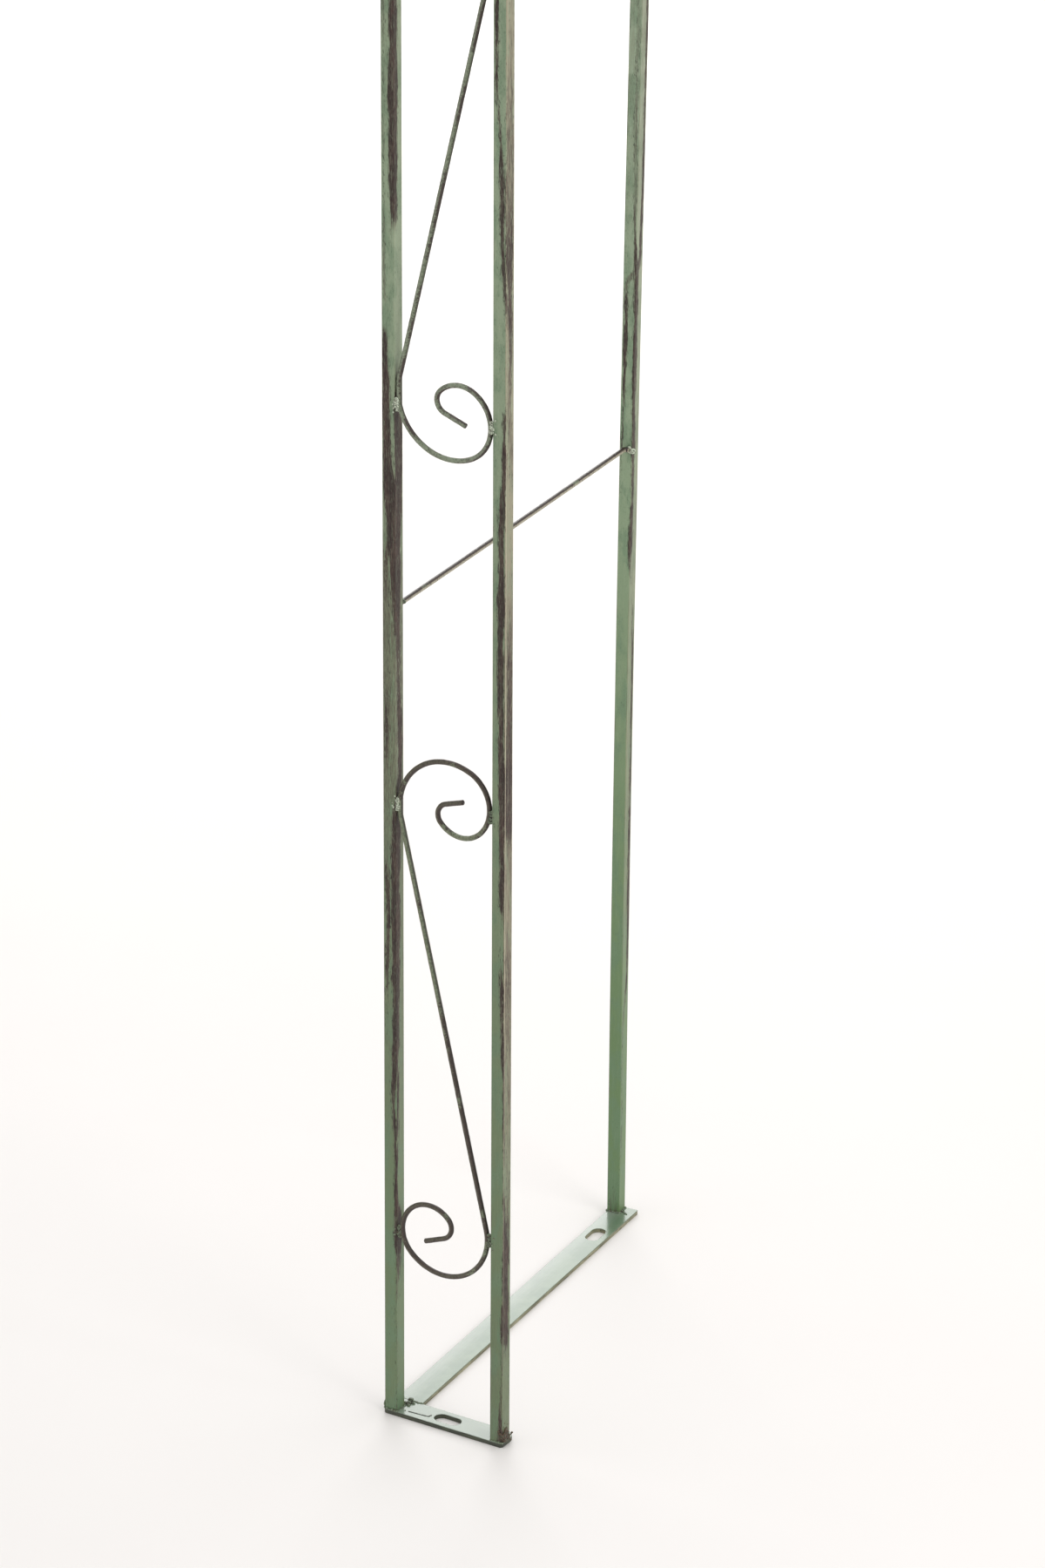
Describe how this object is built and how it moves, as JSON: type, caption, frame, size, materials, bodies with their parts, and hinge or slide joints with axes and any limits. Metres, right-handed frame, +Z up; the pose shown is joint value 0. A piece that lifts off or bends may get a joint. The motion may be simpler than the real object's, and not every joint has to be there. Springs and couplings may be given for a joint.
{
  "type": "garden obelisk",
  "caption": "Tall L-plan climbing-plant frame of square steel tube on slotted flat base bars, with wire scrolls, rungs, bowed top tubes and a ball finial.",
  "frame": {"origin": "centre of the bounding box at the ground, under the base bars", "axes": "+Z up along the uprights, +Y along the wide side from the corner upright to the rear upright, +X along the narrow side from the corner upright to the side upright"},
  "size_m": [0.166, 0.551, 2.3183],
  "materials": {
    "tube_paint": "satin green paint with brushed dark brown patina, streaked along the tubes",
    "base_bar_paint": "satin green paint, little patina, dark edges",
    "wire_paint": "mostly dark brown patina over green paint",
    "weld_bead": "rough weld metal under paint, dark in its crevices",
    "bare_steel": "plain steel, hidden inside the tubes",
    "zinc_screw": "zinc-plated"
  },
  "bodies": {
    "root": {"ball_finial": "tube_paint", "bar_joint_weld": "weld_bead", "corner_joint_screw": "zinc_screw", "corner_joint_sleeve": "bare_steel", "corner_spire": "tube_paint", "corner_upright": "tube_paint", "foot_weld_corner": "weld_bead", "foot_weld_rear": "weld_bead", "foot_weld_side": "weld_bead", "foot_weld_side_lump": "weld_bead", "long_base_bar": "base_bar_paint", "lower_scroll": "wire_paint", "middle_rung": "wire_paint", "rear_bow": "tube_paint", "rear_joint_screw": "zinc_screw", "rear_joint_sleeve": "bare_steel", "rear_upright": "tube_paint", "short_base_bar": "base_bar_paint", "short_top_rung": "wire_paint", "side_bow": "tube_paint", "side_joint_screw": "zinc_screw", "side_joint_sleeve": "bare_steel", "side_upright": "tube_paint", "top_rung": "wire_paint", "upper_scroll": "wire_paint", "weld_lower_scroll_foot": "weld_bead", "weld_lower_scroll_head": "weld_bead", "weld_lower_scroll_head_side": "weld_bead", "weld_lower_scroll_side": "weld_bead", "weld_middle_rung_corner": "weld_bead", "weld_middle_rung_rear": "weld_bead", "weld_top_rung_corner": "weld_bead", "weld_top_rung_rear": "weld_bead", "weld_upper_scroll_foot": "weld_bead", "weld_upper_scroll_head": "weld_bead", "weld_upper_scroll_head_side": "weld_bead", "weld_upper_scroll_side": "weld_bead"}
  },
  "joints": []
}
